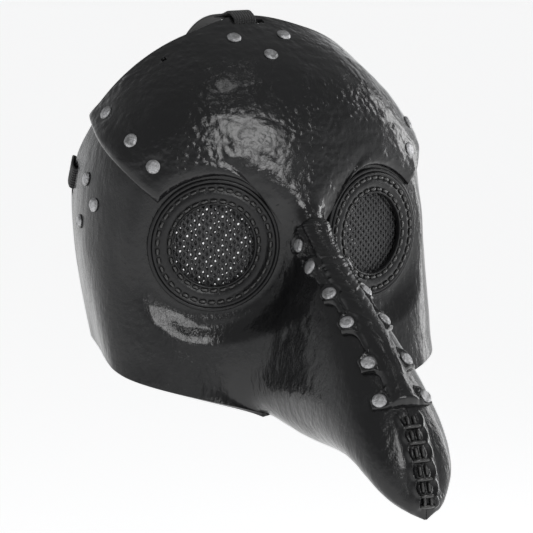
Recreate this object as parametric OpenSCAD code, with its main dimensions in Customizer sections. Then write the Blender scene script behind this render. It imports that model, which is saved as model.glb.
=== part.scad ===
/* [Eyes] */
// Distance from the middle of the face to the middle of each eye
eye_offset = 44.5; // [44:0.1:45]
// How far the middle of each eye stands in front of the wearer's temples
eye_forward = 82.5; // [82:0.1:83]
// How far each eye turns outwards from straight ahead, in degrees
eye_splay = 19; // [18:0.5:20]
// Radius of the round window in each eye ring
window_r = 20.5; // [19:0.5:21.5]
// Outer radius of each leather eye ring
ring_r = 31.2; // [30:0.1:31.4]
// Thickness of the eye rings
ring_t = 2.2; // [1.6:0.1:2.6]
// Thickness of the piped welt around each ring
welt_d = 2.2; // [1.6:0.1:2.4]
// Thickness of the eye mesh
mesh_t = 0.9; // [0.6:0.1:1.2]

/* [Leather] */
// Thickness of the leather panels
panel_t = 2; // [1.6:0.1:2.2]
// Space between one layer of leather and the next
layer_gap = 0.3; // [0.2:0.05:0.35]
// Thickness of the strip that covers the ridge of the nose
strip_t = 2; // [1.6:0.1:2.4]

/* [Rivets] */
// Radius of a rivet's head
head_r = 3.6; // [3:0.1:3.8]
// Height of a rivet's head
head_h = 1.5; // [1:0.1:2]
// Radius of a rivet's shank
shank_r = 1.3; // [1:0.1:1.5]
// Radius of the cap on the inside end of a rivet
cap_r = 2.8; // [2.5:0.1:3.4]

/* [Holes and slots] */
// Radius of the two hanging holes in the forehead
hang_hole_r = 1.4; // [1.1:0.1:1.6]
// Length of each strap slot
slot_l = 17; // [15:0.5:18]
// Width of each strap slot
slot_w = 3.2; // [3:0.1:3.6]

/* [Elastic] */
// Width of the elastic
elastic_w = 12.5; // [11:0.5:13]
// Thickness of the elastic
elastic_t = 1.2; // [1:0.1:1.3]
// Angle at which the head band leaves the temples, in degrees
band_angle = 52; // [48:1:56]

/* [Sewing] */
// Number of stitches in the outer row of each eye ring
outer_stitches = 39; // [30:1:42]
// Number of stitches in the inner row of each eye ring
inner_stitches = 30; // [24:1:33]
// Thickness of the lacing
lace_d = 1.5; // [1:0.1:1.8]

/* [Hidden] */

leather = [0.05, 0.05, 0.055];
lace = [0.09, 0.09, 0.1];
silver = [0.78, 0.78, 0.8];
webbing = [0.12, 0.12, 0.13];

$fn = 48;
RIGHT = -1;
LEFT = 1;
SEAM = 0.15;           // each panel stops this far from the middle of the face
TIP = 8.95;            // station where the beak closes
STATIONS = 42;         // rows of facets along a side panel
RIBS = 24;             // facets across a side panel
FLAT_R = 37;           // the leather is flat this far around each eye
FLAT_BLEND = 13;       // and eases back into the face over this much more

// The face is a net of [sideways, forward, up] points. Each row runs from the ridge of the
// brow or nose, down one side, to the lower edge. The rows run from the rim behind the
// temples (station 0) to the tip of the beak (station 9).
FACE_NET = [
    [[0, 34, 106], [40, 34, 99], [69, 27, 78], [84, 13, 49], [86.5, 3, 12], [81, 4, -28], [80.5, 16, -53]],
    [[0, 54, 95], [42, 54, 88], [77.5, 48, 66], [91.5, 32, 37], [94, 27, 2], [90, 34, -34], [87, 44, -57]],
    [[0, 80, 71], [42, 78, 70], [78.5, 69, 51], [92, 57, 25], [95, 57, -8], [95.3, 63, -42], [96, 73, -64.5]],
    [[0, 92, 43], [32, 88, 40], [62, 80, 26], [74, 76, 2], [74, 78, -28], [71, 89, -57], [58, 96, -75]],
    [[0, 98, 18], [9, 96, 12], [17, 92, -2], [25, 89, -26], [35, 90, -50], [31, 93, -79], [0, 91, -96.5]],
    [[0, 132, -12], [12, 128, -15], [19, 122, -30], [26, 119, -52], [28, 119, -74], [21, 117, -93], [0, 117, -98]],
    [[0, 173, -37], [15, 171, -41], [23.5, 166, -51.5], [28.5, 160, -68], [26, 158, -82], [16, 157, -93], [0, 156, -97.5]],
    [[0, 204, -71], [14, 202, -73], [24, 198, -79.5], [26, 192, -88], [21, 188, -96], [11, 187, -99.5], [0, 186, -101.5]],
    [[0, 217, -98], [10, 216, -99], [18, 214, -102], [20, 210, -106], [16, 208, -110.5], [9, 207, -113], [0, 207, -114]],
    [for (i = [0:6]) [0, 217, -118]]
];

// Front edge of the forehead panel, as [station, rib] points from the middle of the face,
// over the inner corner of the eye, around the eye ring and out along the brow
BROW_EDGE = [
    [3.72, 0], [3.76, 0.4], [3.92, 0.85], [4.1, 1.14], [3.62, 1.02], [3.18, 1.12],
    [2.93, 1.42], [2.78, 1.9], [2.68, 2.47]
];
BROW_RIB = 2.71;       // rib where the brow edge starts at the rim
STRIP_TOP = 3.98;      // station of the nose strip's upper end
STRIP_END = 6.86;      // station of the nose strip's lower end
// Half width of the nose strip in ribs, at stations down the nose
STRIP_HALF = [[3.98, 0.95], [4.33, 1.18], [4.76, 1.18], [5.21, 1.08], [5.66, 1.04], [6.23, 1.02], [6.86, 1.26]];

// Places of the fasteners and holes, as [station, rib]
BROW_RIVETS = [[0.54, 2.33], [1.67, 2.15], [2.3, 2.11]];
TEMPLE_RIVETS = [[0.95, 3.2], [1.5, 3.35], [0.9, 3.85]];
CROWN_RIVETS = [[0.56, -0.34], [0.56, 0.34], [1.13, 0]];
NOSE_RIVETS = [[4.44, 0.8], [4.78, 0.84], [5.21, 0.75], [5.66, 0.71], [6.23, 0.7], [6.72, 0.88]];
HANG_HOLE = [0.43, 1.3];
SIDE_SLOT = [-0.02, 3.6];
CROWN_SLOT = [0.04, 0];
LACE_BARS = [7.15, 7.4, 7.7, 8.05, 8.4];
UNDER_STITCHES = [for (i = [0:13]) 4.7 + 0.27 * i];

// Weights of four neighbouring points on a smooth curve, part way from the second to the third
function weights(u) = [(1 - u) ^ 3, 3 * u ^ 3 - 6 * u ^ 2 + 4, -3 * u ^ 3 + 3 * u ^ 2 + 3 * u + 1, u ^ 3] / 6;
function other_side(p) = [-p[0], p[1], p[2]];
function ease(x) = let (u = min(max(x, 0), 1)) u * u * (3 - 2 * u);
function unit(v) = v / norm(v);
function on_line(row) = row[len(row) - 1][0] == 0;
function past_end(row) = let (n = len(row) - 1)
    on_line(row) ? other_side(row[n - 1]) : 2 * row[n] - row[n - 1];
WIDE_NET = [for (row = FACE_NET) concat([other_side(row[1])], row, [past_end(row)])];
NET = concat([2 * WIDE_NET[0] - WIDE_NET[1]], WIDE_NET, [2 * WIDE_NET[9] - WIDE_NET[8]]);

// Point of the smooth face before it is flattened around the eyes
function face(s, t) = let (
    i = min(max(floor(s), 0), 8),
    j = min(max(floor(t), 0), 5),
    across = weights(t - j),
    p = weights(s - i) * [for (k = [0:3]) across * [for (l = [0:3]) NET[i + k][j + l]]]
) [p[0], -p[1], p[2]];

EYE = [eye_offset, -eye_forward, 0];
EYE_AXIS = [sin(eye_splay), -cos(eye_splay), 0];
EYE_SIDE = [cos(eye_splay), sin(eye_splay), 0];

// Pulls a point onto the flat of the eye, fully inside FLAT_R and not at all past the blend
function flatten_eye(p) = let (
    d = p - EYE,
    h = d * EYE_AXIS,
    r = norm(d - h * EYE_AXIS),
    w = (1 - ease((r - FLAT_R) / FLAT_BLEND)) * ease(p[0] / 10)
) p - w * h * EYE_AXIS;

function skin(s, t) = t < 0 ? other_side(skin(s, -t)) : flatten_eye(face(s, t));
function outward(s, t) = let (
    e = 0.02,
    along = skin(s + e, t) - skin(s - e, t),
    across = skin(s, t + e) - skin(s, t - e)
) unit(cross(along, across));
function layer(s, t, h) = skin(s, t) + h * outward(s, t);
function clear_of_middle(p) = [max(p[0], SEAM), p[1], p[2]];

// Height of a rounded tab, from 1 in its middle to 0 at its ends
function tab(u) = abs(u) < 1 ? (1 - u * u) ^ 2 : 0;
function smooth_line(list, x) = let (
    n = len(list) - 1,
    i = min(max(floor(x), 0), n - 1),
    before = i == 0 ? 2 * list[0] - list[1] : list[i - 1],
    after = i == n - 1 ? 2 * list[n] - list[n - 1] : list[i + 2]
) weights(x - i) * [before, list[i], list[i + 1], after];

// Closed solid between two grids of points of the same size
module leather_between(outer, inner) {
    rows = len(outer) - 1;
    cols = len(outer[0]) - 1;
    w = cols + 1;
    m = (rows + 1) * w;
    points = concat([for (row = outer) each row], [for (row = inner) each row]);
    faces = concat(
        [for (i = [0:rows - 1]) for (j = [0:cols - 1]) [i * w + j, (i + 1) * w + j + 1, (i + 1) * w + j]],
        [for (i = [0:rows - 1]) for (j = [0:cols - 1]) [i * w + j, i * w + j + 1, (i + 1) * w + j + 1]],
        [for (i = [0:rows - 1]) for (j = [0:cols - 1]) [m + i * w + j, m + (i + 1) * w + j, m + (i + 1) * w + j + 1]],
        [for (i = [0:rows - 1]) for (j = [0:cols - 1]) [m + i * w + j, m + (i + 1) * w + j + 1, m + i * w + j + 1]],
        [for (i = [0:rows - 1]) [i * w, (i + 1) * w, m + (i + 1) * w]],
        [for (i = [0:rows - 1]) [i * w, m + (i + 1) * w, m + i * w]],
        [for (i = [0:rows - 1]) [(i + 1) * w + cols, i * w + cols, m + i * w + cols]],
        [for (i = [0:rows - 1]) [(i + 1) * w + cols, m + i * w + cols, m + (i + 1) * w + cols]],
        [for (j = [0:cols - 1]) [j + 1, j, m + j]],
        [for (j = [0:cols - 1]) [j + 1, m + j, m + j + 1]],
        [for (j = [0:cols - 1]) [rows * w + j, rows * w + j + 1, m + rows * w + j + 1]],
        [for (j = [0:cols - 1]) [rows * w + j, m + rows * w + j + 1, m + rows * w + j]]
    );
    polyhedron(points, faces, convexity = 8);
}

// Puts children on the wearer's right or left: they are drawn on the left
module on_side(side) {
    if (side == RIGHT) {
        mirror([1, 0, 0]) children();
    } else {
        children();
    }
}

// Stands children on the leather: Z points outwards, X towards the beak and Y down the rib
module stand_on(s, t, h = 0) {
    z = outward(s, t);
    x = unit(cross(cross(z, skin(s + 0.02, t) - skin(s - 0.02, t)), z));
    y = cross(z, x);
    p = layer(s, t, h);
    multmatrix([[x[0], y[0], z[0], p[0]], [x[1], y[1], z[1], p[1]], [x[2], y[2], z[2], p[2]]]) children();
}

// Stands children on the middle of an eye: Z points out along the eye's axis, X towards the temple
module stand_on_eye(side) {
    on_side(side) multmatrix([
        [EYE_SIDE[0], 0, EYE_AXIS[0], EYE[0]],
        [EYE_SIDE[1], 0, EYE_AXIS[1], EYE[1]],
        [0, 1, 0, 0]
    ]) children();
}

module slot_cut() {
    run = slot_l - slot_w;
    cube([slot_w, run, 14], center = true);
    for (end = [-1, 1]) translate([0, end * run / 2, 0]) cylinder(r = slot_w / 2, h = 14, center = true);
}

module rivet_holes(places) {
    for (p = places) stand_on(p[0], p[1]) cylinder(r = shank_r + 0.1, h = 14, center = true);
}

// ---- Leather panels ----

function panel_top(s) = 1.97 * (1 - ease(s - 1.7));
function side_layer(h) = [for (i = [0:STATIONS]) let (a = i / STATIONS, s = TIP * a, top = panel_top(s))
    [for (j = [0:RIBS]) let (
        t = top + (6 - top) * j / RIBS,
        rim = -0.25 * tab((t - 3.55) / 0.8) * (1 - a) ^ 6,
        thin = 1 - 0.8 * ease((s - 8.2) / 0.7)
    ) clear_of_middle(layer(s + rim, t, h * thin))]];

module side_panel(side) {
    on_side(side) difference() {
        leather_between(side_layer(0), side_layer(-panel_t));
        stand_on_left_eye() cylinder(r = window_r + 1, h = 30, center = true, $fn = 96);
        rivet_holes(BROW_RIVETS);
        rivet_holes(TEMPLE_RIVETS);
        rivet_holes(NOSE_RIVETS);
        stand_on(SIDE_SLOT[0], SIDE_SLOT[1]) slot_cut();
    }
}

module stand_on_left_eye() {
    stand_on_eye(LEFT) children();
}

module right_side_panel() {
    color(leather) side_panel(RIGHT);
}

module left_side_panel() {
    color(leather) side_panel(LEFT);
}

BROW_ROWS = 22;
BROW_COLS = 14;
function brow_layer(h) = [for (i = [0:BROW_ROWS]) let (a = i / BROW_ROWS)
    [for (j = [-BROW_COLS:BROW_COLS]) let (
        b = abs(j) / BROW_COLS,
        t0 = BROW_RIB * b,
        edge = smooth_line(BROW_EDGE, 8 * b),
        s0 = -0.22 * tab(t0 / 0.85),
        s = s0 + (edge[0] - s0) * a,
        t = t0 + (edge[1] - t0) * a,
        p = layer(s, t, h)
    ) j < 0 ? other_side(p) : p]];

module forehead_panel() {
    color(leather) difference() {
        leather_between(brow_layer(layer_gap + panel_t), brow_layer(layer_gap));
        rivet_holes(CROWN_RIVETS);
        stand_on(CROWN_SLOT[0], CROWN_SLOT[1]) slot_cut();
        for (side = [RIGHT, LEFT]) on_side(side) {
            rivet_holes(BROW_RIVETS);
            stand_on(HANG_HOLE[0], HANG_HOLE[1]) cylinder(r = hang_hole_r, h = 14, center = true);
        }
    }
}

STRIP_ROWS = 26;
STRIP_COLS = 5;
function strip_layer(h) = [for (i = [0:STRIP_ROWS]) let (a = i / STRIP_ROWS)
    [for (j = [-STRIP_COLS:STRIP_COLS]) let (
        b = abs(j) / STRIP_COLS,
        s = STRIP_TOP + (STRIP_END - STRIP_TOP) * a + 0.2 * b * b * (1 - a) ^ 3,
        p = layer(s, b * lookup(s, STRIP_HALF), h)
    ) j < 0 ? other_side(p) : p]];

module nose_strip() {
    color(leather) difference() {
        leather_between(strip_layer(layer_gap + strip_t), strip_layer(layer_gap));
        for (side = [RIGHT, LEFT]) on_side(side) rivet_holes(NOSE_RIVETS);
    }
}

// ---- Lacing on the beak ----

module beak_lacing() {
    color(lace) for (s = LACE_BARS)
        stand_on(s, 0, lace_d / 2 + 0.1) rotate([90, 0, 0]) cylinder(r = lace_d / 2, h = 7, center = true, $fn = 16);
}

module beak_under_stitching() {
    color(lace) for (s = UNDER_STITCHES)
        stand_on(s, 6, lace_d / 2 + 0.1) rotate([90, 0, 0]) cylinder(r = lace_d / 2, h = 5, center = true, $fn = 16);
}

// ---- Eyes ----

module eye_ring(side) {
    edge = 0.7;
    stand_on_eye(side) rotate_extrude($fn = 96) polygon([
        [window_r, 0.02], [ring_r, 0.02], [ring_r, ring_t - edge], [ring_r - edge, ring_t],
        [window_r + edge, ring_t], [window_r, ring_t - edge]
    ]);
}

module eye_welt(side) {
    stand_on_eye(side) rotate_extrude($fn = 96) translate([ring_r + welt_d / 2 + 0.1, welt_d / 2 + layer_gap]) circle(d = welt_d, $fn = 24);
}

module stitch_row(count, r, len) {
    for (i = [0:count - 1]) rotate([0, 0, (i + 0.5) * 360 / count])
        translate([r, 0, ring_t + lace_d / 4 + 0.02]) rotate([90, 0, 0]) cylinder(d = lace_d / 2, h = len, center = true, $fn = 12);
}

module eye_stitching(side) {
    stand_on_eye(side) {
        stitch_row(outer_stitches, ring_r - 2.8, 3.6);
        stitch_row(inner_stitches, window_r + 2, 3.6);
    }
}

MESH_R = window_r + 5.5;
module eye_mesh(side) {
    stand_on_eye(side) translate([0, 0, -panel_t - mesh_t - 0.05]) cylinder(r = MESH_R, h = mesh_t, $fn = 96);
}

module mesh_retainer(side) {
    top = -panel_t - 0.05;
    step = top - mesh_t - 0.1;
    back = top - 2.4;
    stand_on_eye(side) rotate_extrude($fn = 96) polygon([
        [window_r + 1, back], [MESH_R + 4, back], [MESH_R + 4, top], [MESH_R + 0.2, top],
        [MESH_R + 0.2, step], [window_r + 1, step]
    ]);
}

module right_eye_ring() {
    color(leather) eye_ring(RIGHT);
}

module left_eye_ring() {
    color(leather) eye_ring(LEFT);
}

module right_eye_welt() {
    color(leather) eye_welt(RIGHT);
}

module left_eye_welt() {
    color(leather) eye_welt(LEFT);
}

module right_eye_stitching() {
    color(lace) eye_stitching(RIGHT);
}

module left_eye_stitching() {
    color(lace) eye_stitching(LEFT);
}

module right_eye_mesh() {
    color(webbing) eye_mesh(RIGHT);
}

module left_eye_mesh() {
    color(webbing) eye_mesh(LEFT);
}

module right_mesh_retainer() {
    color(leather) mesh_retainer(RIGHT);
}

module left_mesh_retainer() {
    color(leather) mesh_retainer(LEFT);
}

// ---- Rivets ----

BROW_TOP = layer_gap + panel_t;
STRIP_OUT = layer_gap + strip_t;

STUD_GAP = 0.4;                    // play between the leather and a head or a cap
DISH = 0.4;                        // how far the underside of a head or a cap rises towards its edge
CAP_T = 0.4;

// A domed head with a flat on top and a shank that reaches the cap inside
module rivet(under_head) {
    lift = under_head + STUD_GAP;
    foot = -panel_t - STUD_GAP - DISH - CAP_T;
    translate([0, 0, foot]) cylinder(r = shank_r, h = lift - foot + 0.2, $fn = 24);
    translate([0, 0, lift]) rotate_extrude($fn = 32) polygon([
        [0, 0], [shank_r, 0], [head_r - 0.2, DISH], [head_r, DISH + 0.2],
        [head_r - 0.3, head_h * 0.75], [head_r * 0.6, head_h], [0, head_h]
    ]);
}

module rivets(places, under_head) {
    for (p = places) stand_on(p[0], p[1]) rivet(under_head);
}

module caps(places, inner_face) {
    bore = shank_r + 0.04;
    for (p = places) stand_on(p[0], p[1], inner_face - STUD_GAP) mirror([0, 0, 1]) rotate_extrude($fn = 32)
        polygon([[bore, 0], [cap_r, DISH], [cap_r, DISH + CAP_T * 0.6], [cap_r * 0.7, DISH + CAP_T], [bore, DISH + CAP_T]]);
}

module right_brow_rivets() {
    color(silver) on_side(RIGHT) rivets(BROW_RIVETS, BROW_TOP);
}

module left_brow_rivets() {
    color(silver) on_side(LEFT) rivets(BROW_RIVETS, BROW_TOP);
}

module right_temple_rivets() {
    color(silver) on_side(RIGHT) rivets(TEMPLE_RIVETS, 0);
}

module left_temple_rivets() {
    color(silver) on_side(LEFT) rivets(TEMPLE_RIVETS, 0);
}

module crown_rivets() {
    color(silver) rivets(CROWN_RIVETS, BROW_TOP);
}

module right_nose_rivets() {
    color(silver) on_side(RIGHT) rivets(NOSE_RIVETS, STRIP_OUT);
}

module left_nose_rivets() {
    color(silver) on_side(LEFT) rivets(NOSE_RIVETS, STRIP_OUT);
}

module brow_rivet_caps() {
    color(silver) for (side = [RIGHT, LEFT]) on_side(side) caps(BROW_RIVETS, -panel_t);
}

module temple_rivet_caps() {
    color(silver) for (side = [RIGHT, LEFT]) on_side(side) caps(TEMPLE_RIVETS, -panel_t);
}

module crown_rivet_caps() {
    color(silver) caps(CROWN_RIVETS, layer_gap);
}

module nose_rivet_caps() {
    color(silver) for (side = [RIGHT, LEFT]) on_side(side) caps(NOSE_RIVETS, -panel_t);
}

// ---- Elastic harness ----

BAND_START = [80, 9];              // where the head band starts: sideways, and behind the temples
BAND_Z = skin(SIDE_SLOT[0], SIDE_SLOT[1])[2];
BAND_R = BAND_START[0] / sin(band_angle);
BAND_BACK = BAND_START[1] + BAND_R * (1 - cos(band_angle));
BAND_CENTRE = [0, BAND_BACK - BAND_R, BAND_Z];
BAND_T = 2 * elastic_t;            // two plies
LOOP_CLEAR = 0.8;                  // play between the elastic and the bar that it closes around
LOOP_TURN = 30;                    // angle between a loop and the tail that leaves it, in degrees
SIDE_BAR = 6.3;                    // leather between the middle of a side slot and the rim
SIDE_TAIL = 7;                     // length of the tail behind a side loop
CROWN_BAR = 5.6;
CROWN_TAIL = 6;
LOOP_CORE = 0.5;                   // how deep a tail is rooted in its loop

// Elastic that passes through a slot and closes around the bar behind it
module strap_loop(bar, high, low, tail) {
    clear = LOOP_CLEAR;
    front = clear - slot_w / 2;
    inner_h = high - low + 2 * clear;
    rotate([90, 0, 0]) linear_extrude(elastic_w, center = true) {
        difference() {
            translate([-bar - clear - elastic_t, low - clear - elastic_t])
                square([bar + clear + elastic_t + front + elastic_t, inner_h + 2 * elastic_t]);
            translate([-bar - clear, low - clear]) square([bar + clear + front, inner_h]);
        }
        translate([-bar - clear - LOOP_CORE, (high + low) / 2]) rotate(LOOP_TURN)
            translate([-tail - LOOP_CORE, -elastic_t]) square([tail - LOOP_CORE, 2 * elastic_t]);
    }
}

module side_loop(side) {
    on_side(side) stand_on(SIDE_SLOT[0], SIDE_SLOT[1]) strap_loop(SIDE_BAR, 0, -panel_t, SIDE_TAIL);
}

module right_strap_loop() {
    color(webbing) side_loop(RIGHT);
}

module left_strap_loop() {
    color(webbing) side_loop(LEFT);
}

module crown_strap_loop() {
    color(webbing) stand_on(CROWN_SLOT[0], CROWN_SLOT[1]) strap_loop(CROWN_BAR, BROW_TOP, layer_gap, CROWN_TAIL);
}

// Centre line of the crown strap, as [behind the temples, up] points
CROWN_ROUTE = [[-22, 108], [-14, 108], [0, 106], [16, 98], [32, 82], [42, 62], [46, 46], [46, 36]];
CROWN_STEPS = 28;
function crown_line(x) = smooth_line(CROWN_ROUTE, x);
function crown_edge(x, h) = let (
    d = crown_line(x + 0.02) - crown_line(x - 0.02),
    n = unit([-d[1], d[0]])
) crown_line(x) + h * n;

module crown_strap() {
    steps = [for (i = [0:CROWN_STEPS]) (len(CROWN_ROUTE) - 1) * i / CROWN_STEPS];
    color(webbing) rotate([90, 0, 90]) linear_extrude(elastic_w, center = true) polygon(concat(
        [for (x = steps) crown_edge(x, elastic_t / 2)],
        [for (i = [CROWN_STEPS:-1:0]) crown_edge(steps[i], -elastic_t / 2)]
    ));
}

module head_band() {
    start = band_angle - 1;        // leaves a gap between the band and the tails
    color(webbing) translate(BAND_CENTRE) rotate([0, 0, 90 - start]) rotate_extrude(angle = 2 * start, $fn = 120)
        translate([BAND_R - BAND_T / 2, -elastic_w / 2]) square([BAND_T, elastic_w]);
}

KEEPER_BACK = 17;                  // angle from the start of the head band to a keeper, in degrees

// A moulded loop that slides along the doubled elastic
module keeper(side) {
    along = 7;
    wall = 1.3;
    gap = 0.5;
    at = band_angle - KEEPER_BACK;
    on_side(side) translate(BAND_CENTRE) rotate([0, 0, 90 - at]) translate([BAND_R, 0, 0]) difference() {
        cube([BAND_T + 2 * gap + 2 * wall, along, elastic_w + 2 * gap + 2 * wall], center = true);
        cube([BAND_T + 2 * gap, along + 2, elastic_w + 2 * gap], center = true);
    }
}

module right_strap_keeper() {
    color(leather) keeper(RIGHT);
}

module left_strap_keeper() {
    color(leather) keeper(LEFT);
}

right_side_panel();
left_side_panel();
forehead_panel();
nose_strip();
beak_lacing();
beak_under_stitching();
right_eye_ring();
left_eye_ring();
right_eye_welt();
left_eye_welt();
right_eye_stitching();
left_eye_stitching();
right_eye_mesh();
left_eye_mesh();
right_mesh_retainer();
left_mesh_retainer();
right_brow_rivets();
left_brow_rivets();
right_temple_rivets();
left_temple_rivets();
crown_rivets();
right_nose_rivets();
left_nose_rivets();
brow_rivet_caps();
temple_rivet_caps();
crown_rivet_caps();
nose_rivet_caps();
right_strap_loop();
left_strap_loop();
crown_strap_loop();
crown_strap();
head_band();
right_strap_keeper();
left_strap_keeper();
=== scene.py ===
import math

import bpy
import numpy as np
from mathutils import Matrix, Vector


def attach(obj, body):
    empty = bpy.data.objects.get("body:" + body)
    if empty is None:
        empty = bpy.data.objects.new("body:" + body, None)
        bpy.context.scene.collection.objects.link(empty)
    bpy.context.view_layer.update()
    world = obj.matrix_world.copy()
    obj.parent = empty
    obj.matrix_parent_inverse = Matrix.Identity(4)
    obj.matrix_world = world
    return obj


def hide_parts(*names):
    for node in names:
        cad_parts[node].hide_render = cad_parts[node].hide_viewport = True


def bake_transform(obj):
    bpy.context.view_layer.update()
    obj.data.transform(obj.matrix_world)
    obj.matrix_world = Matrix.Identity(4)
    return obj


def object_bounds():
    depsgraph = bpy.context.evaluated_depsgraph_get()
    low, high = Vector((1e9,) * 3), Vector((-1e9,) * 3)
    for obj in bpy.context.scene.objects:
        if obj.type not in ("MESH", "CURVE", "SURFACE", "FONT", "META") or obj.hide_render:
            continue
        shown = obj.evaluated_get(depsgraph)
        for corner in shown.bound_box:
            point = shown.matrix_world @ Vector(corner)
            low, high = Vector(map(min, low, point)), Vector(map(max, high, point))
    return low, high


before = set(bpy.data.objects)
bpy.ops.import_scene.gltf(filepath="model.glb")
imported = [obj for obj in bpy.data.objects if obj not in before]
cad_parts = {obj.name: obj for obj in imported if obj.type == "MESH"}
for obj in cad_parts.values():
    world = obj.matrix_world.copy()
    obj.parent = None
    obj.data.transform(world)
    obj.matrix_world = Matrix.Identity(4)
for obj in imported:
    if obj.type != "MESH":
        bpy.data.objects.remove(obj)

cad_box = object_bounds()


# ---------------------------------------------------------------------------------------------
# The studio: a long lens on the wearer's right and a pale floor well below the mask. A large
# soft light hangs in front, a weak one over the crown and a tall one at the left shoulder.

AIM = Vector((0.0, -0.090, 0.0))
CAMERA_AZIMUTH = math.radians(-28)
CAMERA_RISE = math.radians(9)
CAMERA_REACH = 2.0
VIEW_WIDTH = 0.2665
OFF_AIM_RIGHT = 0.0165
OFF_AIM_UP = 0.0128

towards_camera = Vector((
    math.sin(CAMERA_AZIMUTH) * math.cos(CAMERA_RISE),
    -math.cos(CAMERA_AZIMUTH) * math.cos(CAMERA_RISE),
    math.sin(CAMERA_RISE),
))
camera_right = Vector((math.cos(CAMERA_AZIMUTH), math.sin(CAMERA_AZIMUTH), 0.0))
camera_up = towards_camera.cross(camera_right)
middle_of_view = AIM - camera_right * OFF_AIM_RIGHT - camera_up * OFF_AIM_UP

lens = bpy.data.cameras.new("studio_camera")
lens.sensor_width = 36.0
lens.lens = 36.0 * CAMERA_REACH / VIEW_WIDTH
lens.clip_end = 30.0
camera = bpy.data.objects.new("studio_camera", lens)
camera.location = middle_of_view + towards_camera * CAMERA_REACH
camera.rotation_euler = (-towards_camera).to_track_quat("-Z", "Y").to_euler()
bpy.context.scene.collection.objects.link(camera)
bpy.context.scene.camera = camera


def soft_light(name, place, aim, width, height, power):
    """A rectangular studio light that stands at a place and faces a point."""
    data = bpy.data.lights.new(name, "AREA")
    data.shape = "RECTANGLE"
    data.size = width
    data.size_y = height
    data.energy = power
    light = bpy.data.objects.new(name, data)
    light.location = place
    light.rotation_euler = (Vector(aim) - Vector(place)).to_track_quat("-Z", "Y").to_euler()
    bpy.context.scene.collection.objects.link(light)


soft_light("front_light", (0.21, -1.40, 0.93), (0, -0.09, 0.03), 0.54, 0.66, 6.8)
soft_light("crown_light", (0.20, -0.40, 1.35), (0, -0.05, 0.05), 0.30, 0.12, 0.35)
soft_light("left_shoulder_light", (1.20, 0.10, 0.25), (0, -0.08, -0.02), 0.30, 0.90, 3.2)
bpy.context.scene.view_settings.view_transform = "Standard"

# Plain soft light from all round: dim overhead, bright at the height of the mask, and a
# little less bright in front of it
OVERHEAD_GLOW = 0.27
LEVEL_GLOW = 0.88
FRONT_SHARE = 0.90


def sky_step(low, high, start, end, height):
    """Part of the sky's brightness: a smooth step from start to end as a coordinate rises."""
    step = sky.nodes.new("ShaderNodeMapRange")
    step.interpolation_type = "SMOOTHSTEP"
    for key, value in (("From Min", low), ("From Max", high), ("To Min", start), ("To Max", end)):
        step.inputs[key].default_value = value
    sky.links.new(height, step.inputs["Value"])
    return step.outputs["Result"]


world = bpy.data.worlds.new("studio_world")
world.use_nodes = True
sky = world.node_tree
sky_way = sky.nodes.new("ShaderNodeTexCoord")
sky_parts = sky.nodes.new("ShaderNodeSeparateXYZ")
sky.links.new(sky_way.outputs["Generated"], sky_parts.inputs["Vector"])
sky_both = sky.nodes.new("ShaderNodeMath")
sky_both.operation = "MULTIPLY"
sky.links.new(sky_step(-0.05, 0.62, LEVEL_GLOW, OVERHEAD_GLOW, sky_parts.outputs["Z"]), sky_both.inputs[0])
sky.links.new(sky_step(-0.7, 0.4, FRONT_SHARE, 1.0, sky_parts.outputs["Y"]), sky_both.inputs[1])
sky.links.new(sky_both.outputs["Value"], sky.nodes["Background"].inputs["Strength"])
sky.nodes["Background"].inputs["Color"].default_value = (0.98, 0.99, 1.0, 1)
bpy.context.scene.world = world

FLOOR_DROP = 0.30
FLOOR_HALF = 9.0
FLOOR_GLOW = 0.62
floor_z = cad_box[0][2] - FLOOR_DROP
floor_corners = [(x * FLOOR_HALF, y * FLOOR_HALF, floor_z) for x, y in ((-1, -1), (1, -1), (1, 1), (-1, 1))]
floor_mesh = bpy.data.meshes.new("studio_floor")
floor_mesh.from_pydata(floor_corners, [], [(0, 1, 2, 3)])
floor = bpy.data.objects.new("studio_floor", floor_mesh)
bpy.context.scene.collection.objects.link(floor)
floor_paint = bpy.data.materials.new("floor_paint")
floor_paint.use_nodes = True
floor_shader = floor_paint.node_tree.nodes["Principled BSDF"]
floor_shader.inputs["Base Color"].default_value = (0.93, 0.93, 0.93, 1)
floor_shader.inputs["Roughness"].default_value = 0.9
floor_shader.inputs["Emission Color"].default_value = (1, 1, 1, 1)
floor_shader.inputs["Emission Strength"].default_value = FLOOR_GLOW
floor_mesh.materials.append(floor_paint)


# ---------------------------------------------------------------------------------------------
# Side panels: two pieces of heavy black leather, each a cheek and one half of the beak. They
# are wet-moulded over a form, so they swell and crease, and are finished with a gloss coat.
# The pair meets along the ridge and the underside of the beak.

MM = 0.001
RIGHT, LEFT = -1, 1
EYE = np.array([44.5, -82.5, 0.0])
EYE_SPLAY = math.radians(19)
EYE_AXIS = np.array([math.sin(EYE_SPLAY), -math.cos(EYE_SPLAY), 0.0])
EYE_SIDE = np.array([math.cos(EYE_SPLAY), math.sin(EYE_SPLAY), 0.0])
UP = np.array([0.0, 0.0, 1.0])
FLAT_R = 35.0
FLAT_BLEND = 15.0
SEAM = 0.15
TIP = 8.95
PANEL_T = 2.0
WINDOW_R = 20.5

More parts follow.
